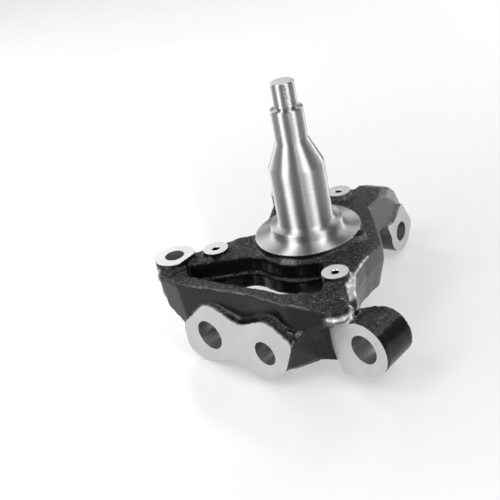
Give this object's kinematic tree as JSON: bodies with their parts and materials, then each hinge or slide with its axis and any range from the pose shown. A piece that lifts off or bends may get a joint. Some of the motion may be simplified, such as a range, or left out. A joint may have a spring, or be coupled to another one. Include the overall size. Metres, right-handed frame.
{
  "type": "steering knuckle",
  "caption": "Forged steering knuckle: stepped wheel spindle in one piece, caliper lugs, bolt-on strut pad, bored clevis lug and arm lug round an open web.",
  "frame": {"origin": "where the spindle axis meets the plane of the collar shoulder", "axes": "+Z out along the spindle towards its threaded end; the strut pad faces -X -Y and the rear arm lug +X -Y, seen with +X to the right"},
  "size_m": [0.1931, 0.2059, 0.1713],
  "materials": {
    "forging": "rough forged skin under gloss black paint, faces, bores and spindle machined bare",
    "machined_steel": "bare turned and milled faces, journals and bores"
  },
  "bodies": {
    "root": {"steering_knuckle": "forging"}
  },
  "joints": []
}
